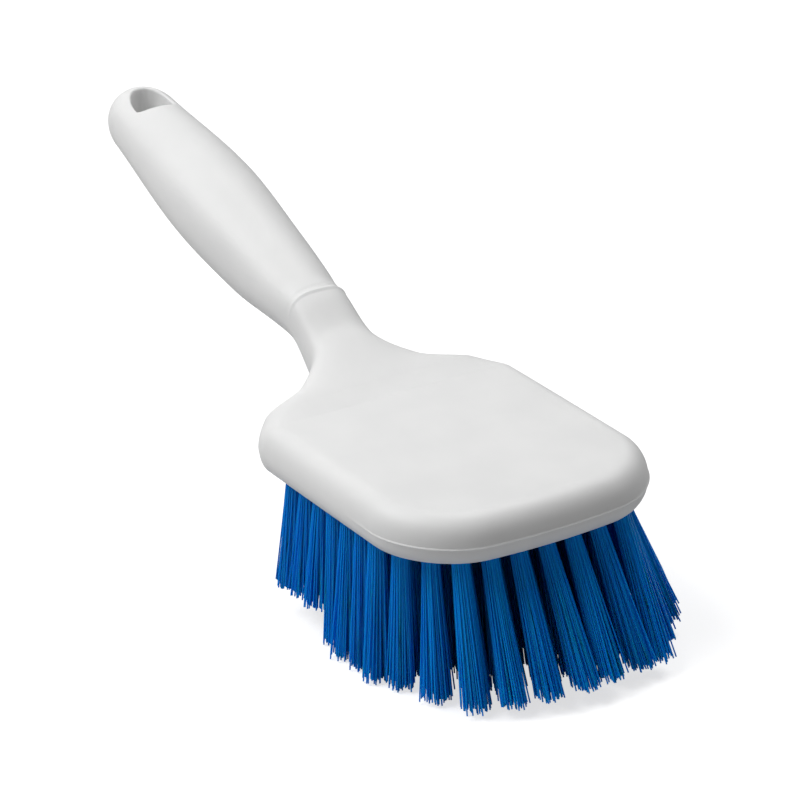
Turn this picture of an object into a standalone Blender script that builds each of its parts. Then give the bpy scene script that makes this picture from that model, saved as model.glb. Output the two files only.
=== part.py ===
"""A hand scrubbing brush: a moulded block and handle, rows of filament tufts and the anchors that hold them.

Metres, +Z up. The brush stands on its bristle tips, the front of the head points along +X and the handle
rises towards -X. The block is drawn from its front edge backwards, so most places here are distances from
that edge, and a last step centres the whole brush over the origin and stands it on its lowest tips.
"""

import math

import bmesh
import bpy
from mathutils import Matrix

# The head, seen from above
overall_length = 0.272
head_width = 0.1029
rear_taper = 0.0007
side_length = 0.0967
front_corner_radius = 0.0274
front_bow = 0.0057

# The head, seen from the side
head_thickness = 0.0165
parting_line_height = 0.0068
top_edge_reach = 0.0108
lower_edge_reach = 0.0047

# The shoulders and the flat-topped neck, each stretch starting where the one before it ends
shoulder_round_length = 0.0134
shoulder_round_inset = 0.0169
shoulder_slope_length = 0.0064
shoulder_slope_width = 0.0517
shoulder_foot_length = 0.0116
neck_width = 0.0262
neck_thickness = 0.0227
neck_rise = 0.0086
neck_length = 0.0155
neck_square_share = 0.36

# The waist, and how far before and past it the neck's squared-up top rounds off
waist_width = 0.0234
waist_thickness = 0.0209
waist_rise = 0.019
round_off_lead = 0.002
round_off_length = 0.0086

# The grip
grip_root_length = 0.0118
grip_root_width = 0.027
grip_front_length = 0.0241
grip_front_width = 0.0322
grip_front_thickness = 0.0294
grip_front_rise = 0.029
grip_belly_length = 0.0296
grip_belly_width = 0.0359
grip_belly_thickness = 0.0319
grip_belly_rise = 0.0382
end_cap_length = 0.0135
end_cap_width = 0.0283
end_cap_thickness = 0.0237
end_cap_rise = 0.0524

# The hole that the brush hangs by, straight down through the grip's end
hang_hole_width = 0.0148
hang_hole_length = 0.0138
hang_hole_front_bulge = 0.0024
hang_hole_to_end = 0.0082

# The tufts
bristle_length = 0.050
tip_cut_depth = 0.0005
rear_trim_step = 0.010
rear_trim_distance = 0.0655
tuft_rows = 10
first_row_distance = 0.0087
last_row_distance = 0.0877
front_row_tufts = 7
row_tufts = 9
front_row_inset = 0.0136
stagger_step = 0.00515
tuft_edge_margin = 0.007
front_row_lean = math.radians(26.5)
front_end_lean = math.radians(5.5)
rear_row_lean = math.radians(-3)
side_tuft_lean = math.radians(13.5)

# A tuft and the blind hole that holds it
tuft_hole_diameter = 0.0058
tuft_hole_depth = 0.0105
tuft_strands = 4
strand_circle_diameter = 0.0036
strand_diameter = 0.0019
strand_flare_share = 1.9

# The slice of backing that a row of tufts is fused to
slice_width = 0.0066
slice_thickness = 0.0015

# The flat anchors, left in one strip for each row, and the bend of the tuft over its anchor
anchor_reach = 0.0037
anchor_height = 0.002
anchor_thickness = 0.0004
fold_thickness = 0.0016

# Fits, cuts and finish
fit_clearance = 0.0003
cut_overrun = 0.002
weld_distance = 0.00001
sharp_angle = math.radians(35)

# How finely the curved shapes are divided
top_steps = 2
top_edge_steps = 4
lower_edge_steps = 3
front_steps = 3
corner_steps = 7
side_steps = 4
shoulder_steps = 14
neck_steps = 4
round_off_steps = 4
grip_steps = 12
end_cap_steps = 6
tuft_sides = 6
bar_steps = 4
bar_end_steps = 4
hole_arc_steps = 12

# Distances from the front edge, worked out from the stretches above
shoulder_round_at = side_length + shoulder_round_length
shoulder_slope_at = shoulder_round_at + shoulder_slope_length
neck_at = shoulder_slope_at + shoulder_foot_length
waist_at = neck_at + neck_length
grip_root_at = waist_at + grip_root_length
grip_front_at = grip_root_at + grip_front_length
grip_belly_at = grip_front_at + grip_belly_length
end_cap_at = overall_length - end_cap_length
end_cap_slope = (end_cap_rise - grip_belly_rise) / (end_cap_at - grip_belly_at)


def smooth_curve(stations, values):
    """A function through the values that bends smoothly and never swings past them."""
    gaps = [b - a for a, b in zip(stations, stations[1:])]
    slopes = [(b - a) / gap for a, b, gap in zip(values, values[1:], gaps)]
    bends = [slopes[0]]
    for before, after, gap_before, gap_after in zip(slopes, slopes[1:], gaps, gaps[1:]):
        if before * after <= 0:
            bends.append(0)
            continue
        near = 2 * gap_after + gap_before
        far = gap_after + 2 * gap_before
        bends.append((near + far) / (near / before + far / after))
    bends.append(slopes[-1])

    def value(at):
        at = min(max(at, stations[0]), stations[-1])
        i = max(k for k in range(len(gaps)) if k == 0 or stations[k] <= at)
        t = (at - stations[i]) / gaps[i]
        start = (1 + 2 * t) * (1 - t) ** 2 * values[i] + t * (1 - t) ** 2 * gaps[i] * bends[i]
        end = t * t * (3 - 2 * t) * values[i + 1] + t * t * (t - 1) * gaps[i] * bends[i + 1]
        return start + end

    return value


def ease(t):
    """0 below 0, 1 above 1, and a soft step between."""
    t = min(max(t, 0), 1)
    return t * t * (3 - 2 * t)


def mix(a, b, t):
    return a + (b - a) * t


plan_width = smooth_curve(
    [
        front_corner_radius,
        side_length,
        shoulder_round_at,
        shoulder_slope_at,
        neck_at,
        waist_at,
        grip_root_at,
        grip_front_at,
        grip_belly_at,
        end_cap_at,
    ],
    [
        head_width,
        head_width - rear_taper,
        head_width - shoulder_round_inset,
        shoulder_slope_width,
        neck_width,
        waist_width,
        grip_root_width,
        grip_front_width,
        grip_belly_width,
        end_cap_width,
    ],
)
section_thickness = smooth_curve(
    [0, side_length, neck_at, waist_at, grip_front_at, grip_belly_at, end_cap_at],
    [
        head_thickness,
        head_thickness,
        neck_thickness,
        waist_thickness,
        grip_front_thickness,
        grip_belly_thickness,
        end_cap_thickness,
    ],
)
section_rise = smooth_curve(
    [0, side_length, neck_at, waist_at, grip_front_at, grip_belly_at, end_cap_at, overall_length],
    [
        0,
        0,
        neck_rise,
        waist_rise,
        grip_front_rise,
        grip_belly_rise,
        end_cap_rise,
        end_cap_rise + end_cap_slope * end_cap_length,
    ],
)


def bowed(distance, across):
    """The distance back from the front edge, once that edge is bowed."""
    fade = min(max(1 - distance / side_length, 0), 1)
    return distance + front_bow * (2 * across / head_width) ** 2 * fade


def spread(start, end, steps):
    return [mix(start, end, i / steps) for i in range(steps)]


def half_outline():
    """Points (distance, half width) round the left half of the block, from the front to the handle's end."""
    straight = head_width / 2 - front_corner_radius
    points = [(0, across) for across in spread(0, straight, front_steps)]
    for turn in spread(0, math.pi / 2, corner_steps):
        across = straight + front_corner_radius * math.sin(turn)
        points.append((front_corner_radius * (1 - math.cos(turn)), across))
    distances = spread(front_corner_radius, side_length, side_steps)
    distances += spread(side_length, neck_at, shoulder_steps)
    distances += spread(neck_at, waist_at, neck_steps)
    distances += spread(waist_at, waist_at + round_off_length, round_off_steps)
    distances += spread(waist_at + round_off_length, end_cap_at, grip_steps)
    points += [(distance, plan_width(distance) / 2) for distance in distances]
    for i in range(end_cap_steps + 1):
        turn = math.pi / 2 * i / end_cap_steps
        points.append((end_cap_at + end_cap_length * math.sin(turn), end_cap_width / 2 * math.cos(turn)))
    return points


def outward(points, i):
    """The unit normal of the bowed outline at point i, as (distance, across)."""
    if i == 0:
        return -1, 0
    if i == len(points) - 1:
        return 1, 0
    along = points[i + 1][0] - points[i - 1][0]
    across = points[i + 1][1] - points[i - 1][1]
    length = math.hypot(along, across)
    return -across / length, along / length


def oval_point(turn, square):
    """A point of an oval of half sizes 1, at a turn from its top, with its upper half squared up by a share."""
    power = 1 - square if turn < math.pi / 2 else 1
    up = math.cos(turn)
    return math.sin(turn) ** power, math.copysign(abs(up) ** power, up)


def half_section(outline, i):
    """Points (distance, across, height) from the middle of the top over the side to the middle of the bottom.

    The head's section is a slab with rounded edges that meet at the parting line, where it is widest. The
    shoulders blend it into the neck's oval with a squared-up top, and past the waist the oval is plain.
    """
    distance, across = outline[i]
    past_cap = max(distance - end_cap_at, 0) / end_cap_length
    half = section_thickness(distance) / 2 * math.sqrt(max(1 - past_cap**2, 0))
    normal = outward(outline, i)
    widest = mix(-half, half, parting_line_height / head_thickness)
    slab = []
    edges = ((top_edge_reach, half, top_edge_steps), (lower_edge_reach, -half, lower_edge_steps))
    for reach, face, steps in edges:
        reach = min(reach, half)
        inner = (distance - reach * normal[0], max(across - reach * normal[1], 0))
        side = [(inner[0], inner[1] * j / top_steps, face) for j in range(top_steps)]
        for j in range(steps):
            turn = math.pi / 2 * j / steps
            out = math.sin(turn)
            height = mix(widest, face, math.cos(turn))
            side.append((mix(inner[0], distance, out), mix(inner[1], across, out), height))
        slab += [*side, (distance, across, widest)] if face == half else side[::-1]
    blend = ease((distance - side_length) / (neck_at - side_length))
    past_neck = ease((distance - waist_at + round_off_lead) / (round_off_lead + round_off_length))
    square = neck_square_share * blend * (1 - past_neck)
    section = []
    for j, point in enumerate(slab):
        turn = math.pi * j / (len(slab) - 1)
        out, up = oval_point(turn, square)
        oval = (distance, across * out, half * up)
        section.append(tuple(mix(a, b, blend) for a, b in zip(point, oval)))
    return section


def collections():
    """Two collections: one for the brush and one for the shapes that cut or join its pieces."""
    made = []
    for name in ("cleaning_brush", "cutters"):
        collection = bpy.data.collections.new(name)
        bpy.context.scene.collection.children.link(collection)
        made.append(collection)
    made[1].hide_render = True
    return made


def plastic(name, color, roughness, metallic=0.0):
    material = bpy.data.materials.new(name)
    material.use_nodes = True
    shader = material.node_tree.nodes["Principled BSDF"]
    shader.inputs["Base Color"].default_value = (*color, 1)
    shader.inputs["Roughness"].default_value = roughness
    shader.inputs["Metallic"].default_value = metallic
    return material


def add_object(name, bm, collection):
    """Turns a bmesh into an object of the collection, with its faces pointing out."""
    bmesh.ops.recalc_face_normals(bm, faces=bm.faces)
    mesh = bpy.data.meshes.new(name)
    bm.to_mesh(mesh)
    bm.free()
    added = bpy.data.objects.new(name, mesh)
    collection.objects.link(added)
    return added


def as_cutter(cutter):
    cutter.hide_render = True
    cutter.display_type = "WIRE"
    return cutter


def combine(target, operation, other):
    modifier = target.modifiers.new(f"{operation.lower()} {other.name}", "BOOLEAN")
    modifier.operation = operation
    modifier.object = other
    modifier.solver = "EXACT"


def block_mesh():
    """The whole block and handle, lofted through its sections as one closed skin."""
    outline = [(bowed(distance, across), across) for distance, across in half_outline()]
    bm = bmesh.new()
    rings = []
    for i in range(len(outline)):
        half = half_section(outline, i)
        ring = [(d, -a, h) for d, a, h in reversed(half)] + half[1:-1]
        middle = bristle_length + head_thickness / 2
        rings.append([bm.verts.new((-d, a, middle + section_rise(d) + h)) for d, a, h in ring])
    for ring, following in zip(rings, rings[1:]):
        for j in range(len(ring)):
            k = (j + 1) % len(ring)
            bm.faces.new((ring[j], ring[k], following[k], following[j]))
    bmesh.ops.remove_doubles(bm, verts=bm.verts, dist=weld_distance)
    bmesh.ops.dissolve_degenerate(bm, edges=bm.edges, dist=weld_distance)
    return bm


def plate(name, outline, low, high, collection):
    """A flat piece with the given outline, between two heights, as a mesh."""
    curve = bpy.data.curves.new(name, "CURVE")
    curve.dimensions = "2D"
    curve.fill_mode = "BOTH"
    curve.extrude = (high - low) / 2
    spline = curve.splines.new("POLY")
    spline.points.add(len(outline) - 1)
    for point, (x, y) in zip(spline.points, outline):
        point.co = (x, y, 0, 1)
    spline.use_cyclic_u = True
    drawn = bpy.data.objects.new(name, curve)
    drawn.location.z = (low + high) / 2
    collection.objects.link(drawn)
    bpy.context.view_layer.update()
    graph = bpy.context.evaluated_depsgraph_get()
    mesh = bpy.data.meshes.new_from_object(drawn.evaluated_get(graph))
    mesh.transform(drawn.matrix_world)
    bpy.data.objects.remove(drawn)
    bm = bmesh.new()
    bm.from_mesh(mesh)
    bpy.data.meshes.remove(mesh)
    bmesh.ops.remove_doubles(bm, verts=bm.verts, dist=weld_distance)
    return bm


def gather(name, pieces, collection):
    """One object that holds several separate closed shapes."""
    bm = bmesh.new()
    for piece in pieces:
        mesh = bpy.data.meshes.new(name)
        piece.to_mesh(mesh)
        piece.free()
        bm.from_mesh(mesh)
        bpy.data.meshes.remove(mesh)
    return add_object(name, bm, collection)


def row_distance(row):
    return mix(first_row_distance, last_row_distance, row / (tuft_rows - 1))


def row_half_span(row):
    """How far a row's tufts reach to each side.

    The front row ends further in than the others. The rows behind it are staggered, each a step longer at
    both ends, until they reach the margin inside the block's rounded outline.
    """
    distance = row_distance(row)
    radius = front_corner_radius - tuft_edge_margin
    into = min(distance - tuft_edge_margin, radius)
    rounded = head_width / 2 - front_corner_radius + math.sqrt(radius**2 - (radius - into) ** 2)
    inset = max(front_row_inset - row * stagger_step, 0)
    return min(rounded, plan_width(distance) / 2 - tuft_edge_margin - inset)


def row_places(row):
    """The tuft centres (x, y) of a row, from right to left."""
    distance = row_distance(row)
    span = row_half_span(row)
    count = min(front_row_tufts + row, row_tufts)
    across = [mix(-span, span, i / (count - 1)) for i in range(count)]
    return [(-bowed(distance, y), y) for y in across]


def row_trim(row):
    """How much shorter than the others the row's bristles are cut."""
    return rear_trim_step if row_distance(row) > rear_trim_distance else 0


def row_bar(row, grow, low, high, collection):
    """A bar with round ends along the row, grown all round by the given gap."""
    reach = slice_width / 2 + grow
    distance = row_distance(row)
    span = row_half_span(row)
    middle = [(-bowed(distance, y), y) for y in spread(-span, span, bar_steps) + [span]]
    outline = [(x + reach, y) for x, y in middle]
    for i in range(1, bar_end_steps):
        turn = math.pi * i / bar_end_steps
        outline.append((middle[-1][0] + reach * math.cos(turn), span + reach * math.sin(turn)))
    outline += [(x - reach, y) for x, y in reversed(middle)]
    for i in range(1, bar_end_steps):
        turn = math.pi * i / bar_end_steps
        outline.append((middle[0][0] - reach * math.cos(turn), -span - reach * math.sin(turn)))
    return plate("bar", outline, low, high, collection)


def round_plugs(row, grow, low, high):
    """Short round plugs at the row's tuft centres, with a flat towards each neighbour."""
    bm = bmesh.new()
    half_side = Matrix.Rotation(math.pi / tuft_sides, 4, "Z")
    for x, y in row_places(row):
        bmesh.ops.create_cone(
            bm,
            cap_ends=True,
            segments=tuft_sides,
            radius1=tuft_hole_diameter / 2 + grow,
            radius2=tuft_hole_diameter / 2 + grow,
            depth=high - low,
            matrix=Matrix.Translation((x, y, (low + high) / 2)) @ half_side,
        )
    return bm


def tuft_lean(row, y):
    """How far the tuft's tips stand off per metre of drop, forwards and sideways."""
    out_share = 2 * y / head_width
    back_share = row / (tuft_rows - 1)
    front = mix(front_row_lean, front_end_lean, out_share**2)
    forward = mix(rear_row_lean, front, (1 - back_share) ** 2)
    return math.tan(forward), math.tan(side_tuft_lean * out_share)


def strands_of(row, x, y):
    """Three-sided strands that start inside the slice, flare out and end in flat cut tips.

    All the strands of a row are equally long, so tufts that lean more end higher above the floor. Those that
    would pass the bristle length by up to the tip cut are cut flat there, and the brush stands on them.
    """
    bm = bmesh.new()
    edge_forward = Matrix.Rotation(math.pi / 2, 4, "Z")
    top = bristle_length + slice_thickness / 2
    forward, sideways = tuft_lean(row, y)
    flat_drop = top - row_trim(row)
    drop = min((flat_drop + tip_cut_depth) / math.hypot(1, forward, sideways), flat_drop)
    for i in range(tuft_strands):
        turn = math.pi * (2 * i + 1) / tuft_strands
        across_x = strand_circle_diameter / 2 * math.cos(turn)
        across_y = strand_circle_diameter / 2 * math.sin(turn)
        shear = Matrix.Identity(4)
        shear[0][2] = -forward - across_x * (strand_flare_share - 1) / drop
        shear[1][2] = -sideways - across_y * (strand_flare_share - 1) / drop
        root = Matrix.Translation((x + across_x, y + across_y, top))
        bmesh.ops.create_cone(
            bm,
            cap_ends=True,
            segments=3,
            radius1=strand_diameter / 2,
            radius2=strand_diameter / 2,
            depth=drop,
            matrix=root @ shear @ Matrix.Translation((0, 0, -drop / 2)) @ edge_forward,
        )
    return bm


def anchor_strip(row, grow):
    """The row's anchors as one sheet on edge, bent only in the block between two tufts."""
    top = bristle_length + tuft_hole_depth - fold_thickness + grow
    bottom = top - anchor_height - 2 * grow
    distance = row_distance(row)
    centres = [y for x, y in row_places(row)]
    reach = anchor_reach + grow
    bends = [(a + b) / 2 for a, b in zip(centres, centres[1:])]
    bm = bmesh.new()
    columns = []
    for y in [centres[0] - reach, *bends, centres[-1] + reach]:
        columns.append([bm.verts.new((-bowed(distance, y), y, z)) for z in (bottom, top)])
    for column, following in zip(columns, columns[1:]):
        bm.faces.new((column[0], following[0], following[1], column[1]))
    return bm


def thickened(name, bm, thickness, collection):
    """The sheet made solid, its middle staying where it was."""
    sheet = bpy.data.meshes.new(name)
    bmesh.ops.recalc_face_normals(bm, faces=bm.faces)
    bm.to_mesh(sheet)
    bm.free()
    made = bpy.data.objects.new(name, sheet)
    collection.objects.link(made)
    solid = made.modifiers.new("thickness", "SOLIDIFY")
    solid.thickness = thickness
    solid.offset = 0
    return made


def hang_hole_outline():
    """An egg-shaped outline: a shallow arc towards the head and a deep one towards the handle's end."""
    depth = hang_hole_length - hang_hole_front_bulge
    middle = overall_length - hang_hole_to_end - depth
    points = []
    for reach, sign in ((depth, 1), (hang_hole_front_bulge, -1)):
        for i in range(hole_arc_steps):
            turn = math.pi * i / hole_arc_steps
            across = sign * hang_hole_width / 2 * math.cos(turn)
            points.append((-middle - sign * reach * math.sin(turn), across))
    return points


def finish(made, material):
    made.data.materials.clear()
    made.data.materials.append(material)
    made.data.shade_smooth()
    made.data.set_sharp_from_angle(angle=sharp_angle)


def build():
    for leftover in list(bpy.data.objects):
        bpy.data.objects.remove(leftover)
    brush, cutters = collections()
    base = bpy.data.objects.new("brush_base", None)
    brush.objects.link(base)

    white = plastic("white moulded plastic", (0.80, 0.80, 0.79), 0.42)
    blue = plastic("blue filament", (0.005, 0.10, 0.42), 0.38)
    steel = plastic("anchor wire", (0.62, 0.62, 0.60), 0.35, 1.0)

    underside = bristle_length
    hole_top = underside + tuft_hole_depth
    pieces = []

    bars = []
    holes = []
    slots = []
    for row in range(tuft_rows):
        number = row + 1
        slice_top = underside + slice_thickness
        tufts = add_object(
            f"tuft_row_{number}", row_bar(row, 0, underside, slice_top, cutters), brush
        )
        plugs = add_object(
            f"plugs_{number}",
            round_plugs(row, 0, underside + slice_thickness / 2, hole_top - fit_clearance),
            cutters,
        )
        strands = gather(
            f"strands_{number}", [strands_of(row, x, y) for x, y in row_places(row)], cutters
        )
        slot = thickened(
            f"slot_{number}", anchor_strip(row, fit_clearance), anchor_thickness + 2 * fit_clearance, cutters
        )
        combine(tufts, "UNION", as_cutter(plugs))
        combine(tufts, "DIFFERENCE", as_cutter(slot))
        combine(tufts, "UNION", as_cutter(strands))
        anchors = thickened(f"anchor_row_{number}", anchor_strip(row, 0), anchor_thickness, brush)
        finish(tufts, blue)
        finish(anchors, steel)
        pieces += [tufts, anchors]
        slots.append(slot)
        bars.append(
            row_bar(row, fit_clearance, underside - cut_overrun, slice_top + fit_clearance, cutters)
        )
        holes.append(round_plugs(row, fit_clearance, underside - cut_overrun, hole_top))

    block = add_object("block_and_handle", block_mesh(), brush)
    combine(block, "DIFFERENCE", as_cutter(gather("bar_grooves", bars, cutters)))
    combine(block, "DIFFERENCE", as_cutter(gather("tuft_holes", holes, cutters)))
    for slot in slots:
        combine(block, "DIFFERENCE", slot)
    grip_top = underside + head_thickness + end_cap_rise + end_cap_thickness
    hang_hole = plate("hang_hole", hang_hole_outline(), underside, grip_top, cutters)
    combine(block, "DIFFERENCE", as_cutter(add_object("hang_hole", hang_hole, cutters)))
    finish(block, white)
    pieces.append(block)

    for made in [*brush.objects, *cutters.objects]:
        if made is not base:
            made.parent = base
    bpy.context.view_layer.update()
    corners = [corner for piece in pieces for corner in piece.bound_box]
    along = [corner[0] for corner in corners]
    base.location.x = -(min(along) + max(along)) / 2
    base.location.z = -min(corner[2] for corner in corners)


build()
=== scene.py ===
"""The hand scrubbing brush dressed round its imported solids.

A finely divided block and handle in white moulded plastic, and ten rows of tufts made of single
blue filaments, stand for the CAD's block and tuft rows. The anchors keep their CAD shape.
"""

import math
import random

import bmesh
import bpy
from mathutils import Matrix, Vector


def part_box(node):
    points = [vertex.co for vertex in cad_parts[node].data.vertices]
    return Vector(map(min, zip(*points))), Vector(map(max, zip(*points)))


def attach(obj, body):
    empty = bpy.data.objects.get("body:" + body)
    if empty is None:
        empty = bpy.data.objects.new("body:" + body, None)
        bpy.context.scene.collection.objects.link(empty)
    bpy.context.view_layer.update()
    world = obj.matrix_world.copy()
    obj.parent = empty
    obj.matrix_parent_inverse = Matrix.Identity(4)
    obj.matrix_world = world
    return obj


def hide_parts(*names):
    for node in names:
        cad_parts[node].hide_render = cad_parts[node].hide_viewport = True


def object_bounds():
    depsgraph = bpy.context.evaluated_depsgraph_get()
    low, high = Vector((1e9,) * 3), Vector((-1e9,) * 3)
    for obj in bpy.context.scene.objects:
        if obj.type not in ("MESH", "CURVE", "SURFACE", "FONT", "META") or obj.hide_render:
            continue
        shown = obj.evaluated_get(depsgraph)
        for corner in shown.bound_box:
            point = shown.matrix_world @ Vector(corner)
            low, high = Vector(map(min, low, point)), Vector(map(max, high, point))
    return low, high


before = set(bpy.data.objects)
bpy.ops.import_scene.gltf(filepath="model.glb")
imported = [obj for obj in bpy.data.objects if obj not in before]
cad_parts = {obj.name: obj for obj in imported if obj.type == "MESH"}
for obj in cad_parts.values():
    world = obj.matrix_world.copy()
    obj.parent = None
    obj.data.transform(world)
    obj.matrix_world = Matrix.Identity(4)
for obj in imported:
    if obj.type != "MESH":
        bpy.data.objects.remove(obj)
cad_low, cad_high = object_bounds()

MM = 0.001

# Where the block sits in the frame
bristle_length = 50 * MM
front_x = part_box("block_and_handle")[1].x
underside = cad_low.z + bristle_length

# The block's own sizes, as in its source
overall_length = 272 * MM
head_width = 102.9 * MM
rear_taper = 0.7 * MM
side_length = 96.7 * MM
front_corner_radius = 27.4 * MM
front_bow = 5.7 * MM
head_thickness = 16.5 * MM
parting_line_height = 6.8 * MM
top_edge_reach = 10.8 * MM
lower_edge_reach = 4.7 * MM
shoulder_round_length = 13.4 * MM
shoulder_round_inset = 16.9 * MM
shoulder_slope_length = 6.4 * MM
shoulder_slope_width = 51.7 * MM
shoulder_foot_length = 11.6 * MM
neck_width = 26.2 * MM
neck_thickness = 22.7 * MM
neck_rise = 8.6 * MM
neck_length = 15.5 * MM
neck_square_share = 0.36
waist_width = 23.4 * MM
waist_thickness = 20.9 * MM
waist_rise = 19 * MM
round_off_lead = 2 * MM
round_off_length = 8.6 * MM
grip_root_length = 11.8 * MM
grip_root_width = 27 * MM
grip_front_length = 24.1 * MM
grip_front_width = 32.2 * MM
grip_front_thickness = 29.4 * MM
grip_front_rise = 29 * MM
grip_belly_length = 29.6 * MM
grip_belly_width = 35.9 * MM
grip_belly_thickness = 31.9 * MM
grip_belly_rise = 38.2 * MM
end_cap_length = 13.5 * MM
end_cap_width = 28.3 * MM
end_cap_thickness = 23.7 * MM
end_cap_rise = 52.4 * MM

# Distances from the front edge, worked out from the stretches above
shoulder_round_at = side_length + shoulder_round_length
shoulder_slope_at = shoulder_round_at + shoulder_slope_length
neck_at = shoulder_slope_at + shoulder_foot_length
waist_at = neck_at + neck_length
grip_root_at = waist_at + grip_root_length
grip_front_at = grip_root_at + grip_front_length
grip_belly_at = grip_front_at + grip_belly_length
end_cap_at = overall_length - end_cap_length
end_cap_slope = (end_cap_rise - grip_belly_rise) / (end_cap_at - grip_belly_at)

# The hang hole and the rounding of its rims
hang_hole_width = 14.8 * MM
hang_hole_length = 13.8 * MM
hang_hole_front_bulge = 2.4 * MM
hang_hole_to_end = 8.2 * MM
hang_hole_rim = 1.1 * MM
hang_hole_mouth_flare = 1.15
hang_hole_overshoot = 2 * MM
hang_hole_end_steps = 36
hang_hole_rim_steps = 8
grip_surface_limit = 0.98

# The parting line round the head, and the fine line and groove over the waist's top
seam_proud = 0.42 * MM
seam_half_width = 0.42 * MM
seam_fade_start = 23.5 * MM
seam_fade_end = 46.5 * MM
waist_line_proud = 0.45 * MM
waist_line_half_width = 1.1 * MM
waist_line_full_turn = math.radians(45)
groove_depth = 0.14 * MM
groove_offset = 1.9 * MM
groove_half_width = 1 * MM

# How finely the block's skin is divided, round its outline and then down its edge
front_edge_steps = 12
corner_steps = 24
side_steps = 24
neck_steps = 60
waist_steps = 32
waist_reach = 4 * MM
grip_steps = 66
end_cap_steps = 24
top_edge_steps = 12
lower_edge_steps = 7
crossing_steps = 8
weld_distance = 0.005 * MM

# The tufts, with their leans in degrees and the places across the head in millimetres
tuft_rows = 10
first_row_distance = 8.7 * MM
last_row_distance = 87.7 * MM
front_row_tufts = 7
row_tufts = 9
front_row_inset = 13.6 * MM
stagger_step = 5.15 * MM
tuft_edge_margin = 7 * MM
tuft_hole_radius = 2.9 * MM
tuft_hole_depth = 6 * MM
rear_trim_step = 10 * MM
rear_trim_distance = 65.5 * MM
rear_row_lean = -3
forward_lean_fade = 2
left_end_lean_fade = 0.6
left_end_start = 20
left_end_length = 24
side_lean_loss = 0.6
side_reach_limit = 61 * MM
tuft_scatter = 0.022

# The filaments
filament_radius = 0.29 * MM
filaments_per_tuft = 100
filament_sides = 4
filament_steps = 4
filament_root_inset = 1.5 * MM
tip_flare = 1.75
tip_flare_range = (0.85, 1.12)
tip_unevenness = 2.6 * MM
tip_scatter = 0.55 * MM
tip_bias = 1.6
tuft_shade_range = (0.35, 0.65)
filament_shade_scatter = 0.25
first_row_seed = 100

# The floor, the surroundings and the lamps
floor_half_size = 4.0
floor_colour = (0.55, 0.55, 0.55, 1)
floor_camera_glow = 0.68
surroundings_light = 0.15
lamp_distance = 1.6


def smooth_curve(stations, values):
    """A function through the values that bends smoothly and never swings past them."""
    gaps = [b - a for a, b in zip(stations, stations[1:])]
    slopes = [(b - a) / gap for a, b, gap in zip(values, values[1:], gaps)]
    bends = [slopes[0]]
    for before, after, gap_before, gap_after in zip(slopes, slopes[1:], gaps, gaps[1:]):
        if before * after <= 0:
            bends.append(0)
            continue
        near = 2 * gap_after + gap_before
        far = gap_after + 2 * gap_before
        bends.append((near + far) / (near / before + far / after))
    bends.append(slopes[-1])

    def value(at):
        at = min(max(at, stations[0]), stations[-1])
        i = max(k for k in range(len(gaps)) if k == 0 or stations[k] <= at)
        t = (at - stations[i]) / gaps[i]
        start = (1 + 2 * t) * (1 - t) ** 2 * values[i] + t * (1 - t) ** 2 * gaps[i] * bends[i]
        end = t * t * (3 - 2 * t) * values[i + 1] + t * t * (t - 1) * gaps[i] * bends[i + 1]
        return start + end

    return value


def ease(t):
    """0 below 0, 1 above 1, and a soft step between."""
    t = min(max(t, 0), 1)
    return t * t * (3 - 2 * t)


def mix(a, b, t):
    return a + (b - a) * t


def spread(start, end, steps):
    return [mix(start, end, i / steps) for i in range(steps)]


plan_width = smooth_curve(
    [
        front_corner_radius,
        side_length,
        shoulder_round_at,
        shoulder_slope_at,
        neck_at,
        waist_at,
        grip_root_at,
        grip_front_at,
        grip_belly_at,
        end_cap_at,
    ],
    [
        head_width,
        head_width - rear_taper,
        head_width - shoulder_round_inset,
        shoulder_slope_width,
        neck_width,
        waist_width,
        grip_root_width,
        grip_front_width,
        grip_belly_width,
        end_cap_width,
    ],
)
section_thickness = smooth_curve(
    [0, side_length, neck_at, waist_at, grip_front_at, grip_belly_at, end_cap_at],
    [
        head_thickness,
        head_thickness,
        neck_thickness,
        waist_thickness,
        grip_front_thickness,
        grip_belly_thickness,
        end_cap_thickness,
    ],
)
section_rise = smooth_curve(
    [0, side_length, neck_at, waist_at, grip_front_at, grip_belly_at, end_cap_at, overall_length],
    [
        0,
        0,
        neck_rise,
        waist_rise,
        grip_front_rise,
        grip_belly_rise,
        end_cap_rise,
        end_cap_rise + end_cap_slope * end_cap_length,
    ],
)


def bowed(distance, across):
    """The distance back from the front edge, once that edge is bowed."""
    fade = min(max(1 - distance / side_length, 0), 1)
    return distance + front_bow * (2 * across / head_width) ** 2 * fade


def half_outline():
    """Points (distance, half width) round the left half, from the front to the handle's end."""
    straight = head_width / 2 - front_corner_radius
    points = [(0, across) for across in spread(0, straight, front_edge_steps)]
    for turn in spread(0, math.pi / 2, corner_steps):
        across = straight + front_corner_radius * math.sin(turn)
        points.append((front_corner_radius * (1 - math.cos(turn)), across))
    distances = spread(front_corner_radius, side_length, side_steps)
    distances += spread(side_length, waist_at - waist_reach, neck_steps)
    distances += spread(waist_at - waist_reach, waist_at + waist_reach, waist_steps)
    distances += spread(waist_at + waist_reach, end_cap_at, grip_steps)
    points += [(distance, plan_width(distance) / 2) for distance in distances]
    for turn in spread(0, math.pi / 2, end_cap_steps) + [math.pi / 2]:
        distance = end_cap_at + end_cap_length * math.sin(turn)
        points.append((distance, end_cap_width / 2 * math.cos(turn)))
    return points


def outward(points, i):
    """The unit normal of the bowed outline at point i, as (distance, across)."""
    if i == 0:
        return -1, 0
    if i == len(points) - 1:
        return 1, 0
    along = points[i + 1][0] - points[i - 1][0]
    across = points[i + 1][1] - points[i - 1][1]
    length = math.hypot(along, across)
    return -across / length, along / length


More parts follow.
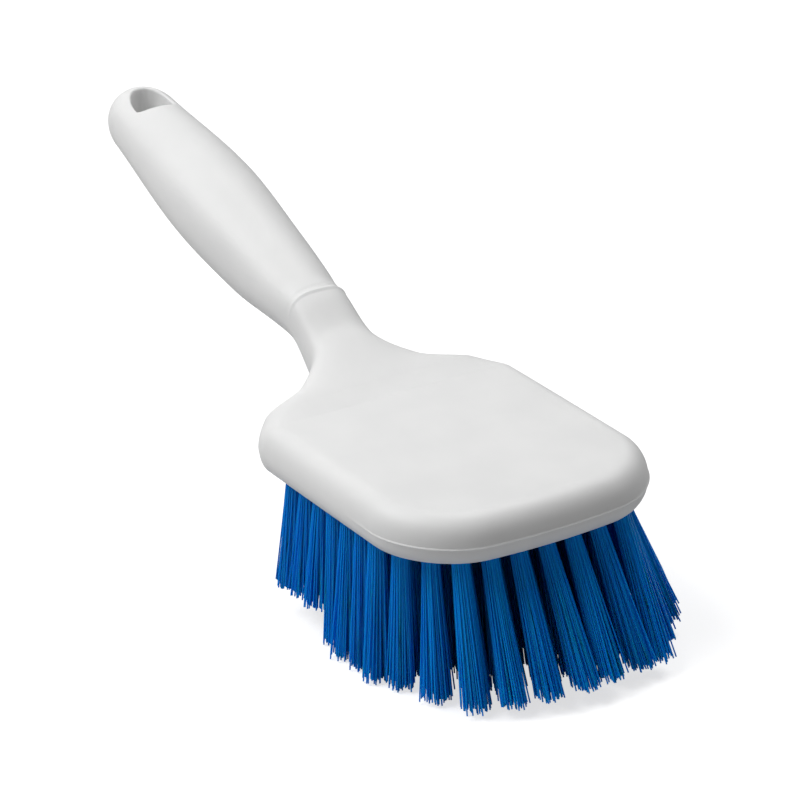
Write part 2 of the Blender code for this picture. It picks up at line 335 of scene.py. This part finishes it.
def edge_profile(half, seam_share):
    """(inset, height) pairs down the head's rounded edge, widest at its parting line."""
    top = min(top_edge_reach, half)
    low = min(lower_edge_reach, half)
    widest = mix(-half, half, parting_line_height / head_thickness)
    pairs = []
    for turn in spread(0, math.pi / 2, top_edge_steps):
        pairs.append((top * (1 - math.sin(turn)), mix(widest, half, math.cos(turn))))
    for offset, proud in ((1, 0), (0.45, 0.7), (0, 1), (-0.45, 0.7), (-1, 0)):
        pairs.append((-seam_proud * seam_share * proud, widest + offset * seam_half_width))
    for turn in reversed(spread(0, math.pi / 2, lower_edge_steps)):
        pairs.append((low * (1 - math.sin(turn)), mix(widest, -half, math.cos(turn))))
    return pairs


def oval_point(turn, square):
    """A point of an oval of half sizes 1 at a turn from its top, its upper half squared up."""
    power = 1 - square if turn < math.pi / 2 else 1
    up = math.cos(turn)
    return math.sin(turn) ** power, math.copysign(abs(up) ** power, up)


def half_section(outline, i):
    """Points (distance, across, height) from the middle of the top over the side to the bottom's.

    The head's section is a slab with rounded edges. The shoulders blend it into the neck's oval
    with a squared-up top, and past the waist the oval is plain.
    """
    distance, across = outline[i]
    past_cap = max(distance - end_cap_at, 0) / end_cap_length
    half = section_thickness(distance) / 2 * math.sqrt(max(1 - past_cap**2, 0))
    normal = outward(outline, i)
    seam_share = 1 - ease((distance - seam_fade_start) / (seam_fade_end - seam_fade_start))
    pairs = edge_profile(half, seam_share)
    slab = []
    for inset, height in pairs:
        slab.append((distance - inset * normal[0], max(across - inset * normal[1], 0), height))
    first, last = slab[0], slab[-1]
    crossing = range(crossing_steps)
    slab = [(first[0], first[1] * j / crossing_steps, first[2]) for j in crossing] + slab
    slab += [(last[0], last[1] * j / crossing_steps, last[2]) for j in reversed(crossing)]
    blend = ease((distance - side_length) / (neck_at - side_length))
    past_neck = ease((distance - waist_at + round_off_lead) / (round_off_lead + round_off_length))
    square = neck_square_share * blend * (1 - past_neck)
    section = []
    for j, point in enumerate(slab):
        turn = math.pi * j / (len(slab) - 1)
        out, up = oval_point(turn, square)
        at = [mix(a, b, blend) for a, b in zip(point, (distance, across * out, half * up))]
        lift = waist_relief(distance) * ease(2 - turn / waist_line_full_turn)
        section.append((at[0], at[1] + lift * math.sin(turn), at[2] + lift * math.cos(turn)))
    return section


def waist_relief(distance):
    """How far the top stands proud at the waist: a fine raised line, with a groove behind it."""
    past = distance - waist_at
    line = waist_line_proud * ease(1 - abs(past) / waist_line_half_width)
    groove = groove_depth * ease(1 - abs(past - groove_offset) / groove_half_width)
    return line - groove


def block_mesh():
    """The whole block and handle, lofted through its sections as one closed skin."""
    outline = [(bowed(distance, across), across) for distance, across in half_outline()]
    middle = underside + head_thickness / 2
    bm = bmesh.new()
    rings = []
    for i in range(len(outline)):
        half = half_section(outline, i)
        ring = []
        for d, a, h in [(d, -a, h) for d, a, h in reversed(half)] + half[1:-1]:
            ring.append(bm.verts.new((front_x - d, a, middle + section_rise(d) + h)))
        rings.append(ring)
    for ring, following in zip(rings, rings[1:]):
        for j in range(len(ring)):
            k = (j + 1) % len(ring)
            bm.faces.new((ring[j], ring[k], following[k], following[j]))
    bmesh.ops.remove_doubles(bm, verts=bm.verts, dist=weld_distance)
    bmesh.ops.dissolve_degenerate(bm, edges=bm.edges, dist=weld_distance)
    bmesh.ops.recalc_face_normals(bm, faces=bm.faces)
    return bm


def mesh_object(name, bm):
    mesh = bpy.data.meshes.new(name)
    bm.to_mesh(mesh)
    bm.free()
    made = bpy.data.objects.new(name, mesh)
    bpy.context.scene.collection.objects.link(made)
    return made


def grip_surface(x, y, side):
    """The height of the grip's top (side 1) or bottom (side -1) at a place in plan."""
    distance = front_x - x
    past_cap = min(max(distance - end_cap_at, 0) / end_cap_length, grip_surface_limit)
    half = section_thickness(distance) / 2 * math.sqrt(1 - past_cap**2)
    width = plan_width(distance) / 2 * math.sqrt(1 - past_cap**2)
    off = min(abs(y) / width, grip_surface_limit)
    middle = underside + head_thickness / 2 + section_rise(distance)
    return middle + side * half * math.sqrt(1 - off**2)


def hang_hole_cutter():
    """The hang hole's walls, which open out at both ends into a rim on the grip's surface."""
    depth = hang_hole_length - hang_hole_front_bulge
    middle = front_x - overall_length + hang_hole_to_end + depth
    outline = []
    for reach, sign in ((depth, 1), (hang_hole_front_bulge, -1)):
        for turn in spread(0, math.pi, hang_hole_end_steps):
            across = sign * hang_hole_width / 2 * math.cos(turn)
            outline.append((-sign * reach * math.sin(turn), across))
    profile = []
    for turn in spread(0, math.pi / 2, hang_hole_rim_steps) + [math.pi / 2]:
        flare = hang_hole_rim * (1 - math.cos(turn))
        profile.append((flare, hang_hole_rim * (math.sin(turn) - 1)))
    profile.append((hang_hole_rim * hang_hole_mouth_flare, hang_hole_overshoot))
    bm = bmesh.new()
    columns = []
    count = len(outline)
    for i, (x, y) in enumerate(outline):
        before, after = outline[i - 1], outline[(i + 1) % count]
        along = Vector((after[0] - before[0], after[1] - before[1])).normalized()
        out = Vector((along.y, -along.x))
        if out.dot(Vector((x, y))) < 0:
            out = -out
        column = []
        for side, steps in ((-1, profile[::-1]), (1, profile)):
            for flare, height in steps:
                at = (middle + x + out.x * flare, y + out.y * flare)
                column.append(bm.verts.new((*at, grip_surface(*at, side) + side * height)))
        columns.append(column)
    for i, column in enumerate(columns):
        following = columns[(i + 1) % count]
        for j in range(len(column) - 1):
            bm.faces.new((column[j], following[j], following[j + 1], column[j + 1]))
    bm.faces.new([column[0] for column in columns])
    bm.faces.new([column[-1] for column in columns])
    bmesh.ops.recalc_face_normals(bm, faces=bm.faces)
    return mesh_object("hang_hole_cutter", bm)


def row_distance(row):
    return mix(first_row_distance, last_row_distance, row / (tuft_rows - 1))


def row_half_span(row):
    """How far a row reaches to each side. Each front row is a step longer than the one before."""
    distance = row_distance(row)
    radius = front_corner_radius - tuft_edge_margin
    into = min(distance - tuft_edge_margin, radius)
    rounded = head_width / 2 - front_corner_radius + math.sqrt(radius**2 - (radius - into) ** 2)
    inset = max(front_row_inset - row * stagger_step, 0)
    return min(rounded, plan_width(distance) / 2 - tuft_edge_margin - inset)


def row_places(row):
    """The tuft centres (x, y) of a row, from right to left."""
    distance = row_distance(row)
    span = row_half_span(row)
    count = min(front_row_tufts + row, row_tufts)
    across = [mix(-span, span, i / (count - 1)) for i in range(count)]
    return [(front_x - bowed(distance, y), y) for y in across]


def tuft_hole_cutter():
    """Blind round holes for all the tufts, as one cutter that lies half outside the block."""
    bm = bmesh.new()
    for row in range(tuft_rows):
        for x, y in row_places(row):
            bmesh.ops.create_cone(
                bm,
                cap_ends=True,
                segments=20,
                radius1=tuft_hole_radius,
                radius2=tuft_hole_radius,
                depth=2 * tuft_hole_depth,
                matrix=Matrix.Translation((x, y, underside)),
            )
    return mesh_object("tuft_hole_cutter", bm)


def cut(target, cutter):
    modifier = target.modifiers.new("cut", "BOOLEAN")
    modifier.object = cutter
    modifier.operation = "DIFFERENCE"
    modifier.solver = "EXACT"
    graph = bpy.context.evaluated_depsgraph_get()
    mesh = bpy.data.meshes.new_from_object(target.evaluated_get(graph))
    target.modifiers.clear()
    target.data = mesh
    bpy.data.objects.remove(cutter)


def filament(points, faces, tones, path, radius, tone):
    """Adds one filament to the lists: a thin tube along the path, closed at both ends."""
    start = len(points)
    for i, at in enumerate(path):
        along = (path[min(i + 1, len(path) - 1)] - path[max(i - 1, 0)]).normalized()
        side = along.cross(Vector((0, 1, 0))).normalized()
        up = side.cross(along)
        for j in range(filament_sides):
            turn = 2 * math.pi * j / filament_sides
            points.append(at + radius * (math.cos(turn) * side + math.sin(turn) * up))
            tones.append(tone)
    for i in range(len(path) - 1):
        for j in range(filament_sides):
            k = (j + 1) % filament_sides
            a = start + i * filament_sides
            faces.append((a + j, a + k, a + filament_sides + k, a + filament_sides + j))
    faces.append(tuple(start + j for j in reversed(range(filament_sides))))
    last = start + (len(path) - 1) * filament_sides
    faces.append(tuple(last + j for j in range(filament_sides)))


# The front row's lean in degrees at places across the head in millimetres
front_lean = smooth_curve(
    [-44, -31, -20, -10, 0, 10, 20, 31, 44],
    [6, 14, 20, 24, 26.5, 27, 25.5, 24, 26],
)
left_lean = smooth_curve(
    [-44, -31, -10, 10, 20, 31, 36, 41, 44],
    [-2, -1.5, -0.5, 2.5, 4.4, 2.6, 8.5, 14, 19],
)


def tuft_lean(row, y):
    """A tuft's slopes, forwards and to the left. The forward lean lasts longest at the left."""
    back_share = row / (tuft_rows - 1)
    at_left_end = ease((y / MM - left_end_start) / left_end_length)
    fade = mix(forward_lean_fade, left_end_lean_fade, at_left_end)
    forward = mix(rear_row_lean, front_lean(y / MM), (1 - back_share) ** fade)
    sideways = left_lean(y / MM) * (1 - side_lean_loss * back_share)
    return math.tan(math.radians(forward)), math.tan(math.radians(sideways))


def bristle_row(row, material):
    """One row of tufts, each a bundle of single filaments that fans out below the block."""
    random.seed(first_row_seed + row)
    points, faces, tones = [], [], []
    trim = rear_trim_step if row_distance(row) > rear_trim_distance else 0
    root_height = underside + filament_root_inset
    for x, y in row_places(row):
        forward, sideways = tuft_lean(row, y)
        forward += random.uniform(-1, 1) * tuft_scatter
        sideways += random.uniform(-1, 1) * tuft_scatter
        flare = tip_flare * random.uniform(*tip_flare_range)
        shade = random.uniform(*tuft_shade_range)
        twist = random.uniform(0, 2 * math.pi)
        for i in range(filaments_per_tuft):
            share = math.sqrt((i + 0.5) / filaments_per_tuft)
            turn = i * math.pi * (3 - math.sqrt(5)) + twist  # golden angle, for an even bundle
            out = Vector((math.cos(turn), math.sin(turn), 0))
            out *= (tuft_hole_radius - filament_radius) * share
            cut_short = tip_unevenness * random.random() ** tip_bias
            length = root_height - trim - filament_radius - cut_short
            drop = length / math.hypot(1, forward, sideways)
            scatter = Vector((random.gauss(0, 1), random.gauss(0, 1), 0)) * tip_scatter
            path = []
            for step in range(filament_steps + 1):
                t = step / filament_steps
                lean = Vector((forward, sideways, 0)) * drop * t
                fan = out * (1 + (flare - 1) * t)
                at = Vector((x, y, root_height - drop * t)) + lean + fan + scatter * t**tip_bias
                at.y = min(at.y, side_reach_limit)
                path.append(at)
            tone = shade + random.uniform(-filament_shade_scatter, filament_shade_scatter)
            filament(points, faces, tones, path, filament_radius, tone)
    mesh = bpy.data.meshes.new(f"bristles_row_{row + 1}")
    mesh.from_pydata(points, [], faces)
    layer = mesh.attributes.new("tone", "FLOAT", "POINT")
    layer.data.foreach_set("value", tones)
    made = bpy.data.objects.new(mesh.name, mesh)
    bpy.context.scene.collection.objects.link(made)
    mesh.materials.append(material)
    mesh.shade_smooth()
    mesh.set_sharp_from_angle(angle=math.radians(80))
    return made


def new_material(name):
    material = bpy.data.materials.new(name)
    material.use_nodes = True
    tree = material.node_tree
    return material, tree, tree.nodes["Principled BSDF"]


def node(tree, kind, settings=(), **inputs):
    """A node with its properties set, each input either given a value or linked to a socket."""
    made = tree.nodes.new(kind)
    for name, value in dict(settings).items():
        setattr(made, name, value)
    for name, value in inputs.items():
        socket = made.inputs[name.replace("_", " ")]
        if isinstance(value, bpy.types.NodeSocket):
            tree.links.new(value, socket)
        else:
            socket.default_value = value
    return made


def color_ramp(tree, factor, stops):
    ramp = node(tree, "ShaderNodeValToRGB", Fac=factor)
    elements = ramp.color_ramp.elements
    while len(elements) < len(stops):
        elements.new(0.5)
    for element, (position, color) in zip(elements, stops):
        element.position = position
        element.color = (*color, 1)
    return ramp.outputs["Color"]


def plastic_material():
    """White moulded plastic: fine spark-eroded grain, faint flow lines along the grip, satin."""
    material, tree, shader = new_material("white_moulded_plastic")
    place = node(tree, "ShaderNodeTexCoord").outputs["Object"]
    cloud = node(tree, "ShaderNodeTexNoise", Vector=place, Scale=45.0, Detail=3.0)
    shade = color_ramp(
        tree, cloud.outputs["Fac"], [(0.35, (0.790, 0.792, 0.790)), (0.65, (0.812, 0.813, 0.810))]
    )
    tree.links.new(shade, shader.inputs["Base Color"])
    grain = node(tree, "ShaderNodeTexNoise", Vector=place, Scale=1700.0, Detail=2.0)
    stretched = node(tree, "ShaderNodeMapping", Vector=place, Scale=(14, 700, 700))
    along_grip = stretched.outputs["Vector"]
    lines = node(tree, "ShaderNodeTexNoise", Vector=along_grip, Scale=1.0, Detail=2.0)
    split = node(tree, "ShaderNodeSeparateXYZ", Vector=place)
    on_grip = node(tree, "ShaderNodeMapRange", Value=split.outputs["X"])
    on_grip.inputs["From Min"].default_value = front_x - waist_at
    on_grip.inputs["From Max"].default_value = front_x - grip_front_at
    on_grip.inputs["To Min"].default_value = 0.0
    on_grip.inputs["To Max"].default_value = 1.0
    grip_lines = node(tree, "ShaderNodeMath", {"operation": "MULTIPLY"})
    tree.links.new(lines.outputs["Fac"], grip_lines.inputs[0])
    tree.links.new(on_grip.outputs["Result"], grip_lines.inputs[1])
    fine = node(tree, "ShaderNodeBump", Strength=0.10, Distance=0.05 * MM)
    tree.links.new(grain.outputs["Fac"], fine.inputs["Height"])
    flow = node(tree, "ShaderNodeBump", Strength=0.25, Distance=0.12 * MM)
    tree.links.new(grip_lines.outputs["Value"], flow.inputs["Height"])
    tree.links.new(fine.outputs["Normal"], flow.inputs["Normal"])
    tree.links.new(flow.outputs["Normal"], shader.inputs["Normal"])
    sheen = color_ramp(tree, cloud.outputs["Fac"], [(0.3, (0.44,) * 3), (0.7, (0.52,) * 3)])
    tree.links.new(sheen, shader.inputs["Roughness"])
    shader.inputs["Specular IOR Level"].default_value = 0.4
    shader.inputs["Subsurface Weight"].default_value = 0.4
    shader.inputs["Subsurface Radius"].default_value = (1.0, 1.0, 1.0)
    shader.inputs["Subsurface Scale"].default_value = 5 * MM
    return material


def filament_material():
    """Blue drawn filament: each one its own shade, with a soft gloss along it."""
    material, tree, shader = new_material("blue_filament")
    tone = node(tree, "ShaderNodeAttribute", {"attribute_name": "tone"}).outputs["Fac"]
    shade = color_ramp(
        tree,
        tone,
        [(0.0, (0.0, 0.215, 0.70)), (0.5, (0.0, 0.265, 0.84)), (1.0, (0.0, 0.325, 0.96))],
    )
    tree.links.new(shade, shader.inputs["Base Color"])
    place = node(tree, "ShaderNodeTexCoord").outputs["Object"]
    stretched = node(tree, "ShaderNodeMapping", Vector=place, Scale=(900, 900, 60))
    streaks = stretched.outputs["Vector"]
    noise = node(tree, "ShaderNodeTexNoise", Vector=streaks, Scale=1.0, Detail=1.0)
    gloss = color_ramp(tree, noise.outputs["Fac"], [(0.3, (0.34,) * 3), (0.7, (0.48,) * 3)])
    tree.links.new(gloss, shader.inputs["Roughness"])
    shader.inputs["Specular IOR Level"].default_value = 0.1
    shader.inputs["Subsurface Weight"].default_value = 0.8
    shader.inputs["Subsurface Radius"].default_value = (0.2, 0.6, 1.0)
    shader.inputs["Subsurface Scale"].default_value = 0.8 * MM
    return material


def wire_material():
    """Rolled steel wire, brushed along its length."""
    material, tree, shader = new_material("anchor_steel")
    place = node(tree, "ShaderNodeTexCoord").outputs["Object"]
    stretched = node(tree, "ShaderNodeMapping", Vector=place, Scale=(900, 60, 900))
    brushing = stretched.outputs["Vector"]
    noise = node(tree, "ShaderNodeTexNoise", Vector=brushing, Scale=1.0, Detail=2.0)
    shade = color_ramp(
        tree, noise.outputs["Fac"], [(0.3, (0.52, 0.52, 0.50)), (0.7, (0.68, 0.68, 0.66))]
    )
    tree.links.new(shade, shader.inputs["Base Color"])
    shader.inputs["Metallic"].default_value = 1.0
    shader.inputs["Roughness"].default_value = 0.35
    return material


def make_block(material):
    block = mesh_object("block", block_mesh())
    cut(block, hang_hole_cutter())
    cut(block, tuft_hole_cutter())
    block.data.materials.clear()
    block.data.materials.append(material)
    block.data.shade_smooth()
    block.data.set_sharp_from_angle(angle=math.radians(32))
    return block


def make_floor():
    """A pale floor that looks white to the camera and keeps a soft shadow."""
    bm = bmesh.new()
    bmesh.ops.create_grid(bm, x_segments=1, y_segments=1, size=floor_half_size)
    floor = mesh_object("floor", bm)
    material, tree, shader = new_material("floor_white")
    shader.inputs["Base Color"].default_value = floor_colour
    shader.inputs["Roughness"].default_value = 0.9
    shader.inputs["Specular IOR Level"].default_value = 0.0
    glow = node(tree, "ShaderNodeEmission", Color=(1, 1, 1, 1), Strength=floor_camera_glow)
    both = tree.nodes.new("ShaderNodeAddShader")
    seen = tree.nodes.new("ShaderNodeMixShader")
    ray = tree.nodes.new("ShaderNodeLightPath")
    tree.links.new(shader.outputs[0], both.inputs[0])
    tree.links.new(glow.outputs[0], both.inputs[1])
    tree.links.new(ray.outputs["Is Camera Ray"], seen.inputs[0])
    tree.links.new(shader.outputs[0], seen.inputs[1])
    tree.links.new(both.outputs[0], seen.inputs[2])
    tree.links.new(seen.outputs[0], tree.nodes["Material Output"].inputs["Surface"])
    floor.data.materials.append(material)


def make_world():
    """Even white surroundings: dim as a light, and plain white where the camera sees them."""
    world = bpy.data.worlds.new("studio")
    bpy.context.scene.world = world
    world.use_nodes = True
    tree = world.node_tree
    tree.nodes.clear()
    light = node(tree, "ShaderNodeBackground", Color=(1, 1, 1, 1), Strength=surroundings_light)
    white = node(tree, "ShaderNodeBackground", Color=(1, 1, 1, 1), Strength=1.0)
    ray = tree.nodes.new("ShaderNodeLightPath")
    seen = tree.nodes.new("ShaderNodeMixShader")
    output = tree.nodes.new("ShaderNodeOutputWorld")
    tree.links.new(ray.outputs["Is Camera Ray"], seen.inputs[0])
    tree.links.new(light.outputs[0], seen.inputs[1])
    tree.links.new(white.outputs[0], seen.inputs[2])
    tree.links.new(seen.outputs[0], output.inputs["Surface"])


def area_light(name, towards, direction, size, strength):
    """A square lamp in a direction, which lights a white face turned to it by the given share."""
    data = bpy.data.lights.new(name, "AREA")
    data.shape = "SQUARE"
    data.size = size
    data.energy = strength * (math.pi * lamp_distance) ** 2
    lamp = bpy.data.objects.new(name, data)
    away = Vector(direction).normalized()
    lamp.location = towards + away * lamp_distance
    lamp.rotation_mode = "QUATERNION"
    lamp.rotation_quaternion = away.to_track_quat("Z", "Y")
    bpy.context.scene.collection.objects.link(lamp)


def make_camera():
    """The photograph's view, from right and front and above, through a long lens."""
    azimuth = math.radians(57.229)
    elevation = math.radians(24.865)
    roll = math.radians(-0.387)
    distance = 1.42
    target = Vector((front_x - 0.09115, -0.00092, underside + 0.01679))
    back = Vector(
        (
            math.sin(azimuth) * math.cos(elevation),
            -math.cos(azimuth) * math.cos(elevation),
            math.sin(elevation),
        )
    )
    right = Vector((math.cos(azimuth), math.sin(azimuth), 0))
    up = back.cross(right)
    rolled_right = math.cos(roll) * right + math.sin(roll) * up
    rolled_up = -math.sin(roll) * right + math.cos(roll) * up
    data = bpy.data.cameras.new("camera")
    data.sensor_width = 36
    data.lens = 192.25
    camera = bpy.data.objects.new("camera", data)
    axes = Matrix((rolled_right, rolled_up, back)).transposed().to_4x4()
    camera.matrix_world = Matrix.Translation(target + back * distance) @ axes
    data.clip_start = 0.05
    data.clip_end = 20
    bpy.context.scene.collection.objects.link(camera)
    bpy.context.scene.camera = camera


bpy.context.scene.view_settings.view_transform = "Standard"
make_camera()
make_world()
make_floor()
centre = Vector((0, 0, underside))
area_light("key", centre, (-0.24, -0.54, 0.81), 1.0, 0.74)
area_light("fill", centre, (-0.12, 0.36, 0.92), 0.8, 0.40)

white_plastic = plastic_material()
blue_filament = filament_material()
steel_wire = wire_material()

block = make_block(white_plastic)
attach(block, "root")
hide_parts("block_and_handle")

for row in range(tuft_rows):
    bristles = bristle_row(row, blue_filament)
    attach(bristles, "root")
    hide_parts(f"tuft_row_{row + 1}")
    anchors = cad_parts[f"anchor_row_{row + 1}"]
    anchors.data.materials.clear()
    anchors.data.materials.append(steel_wire)
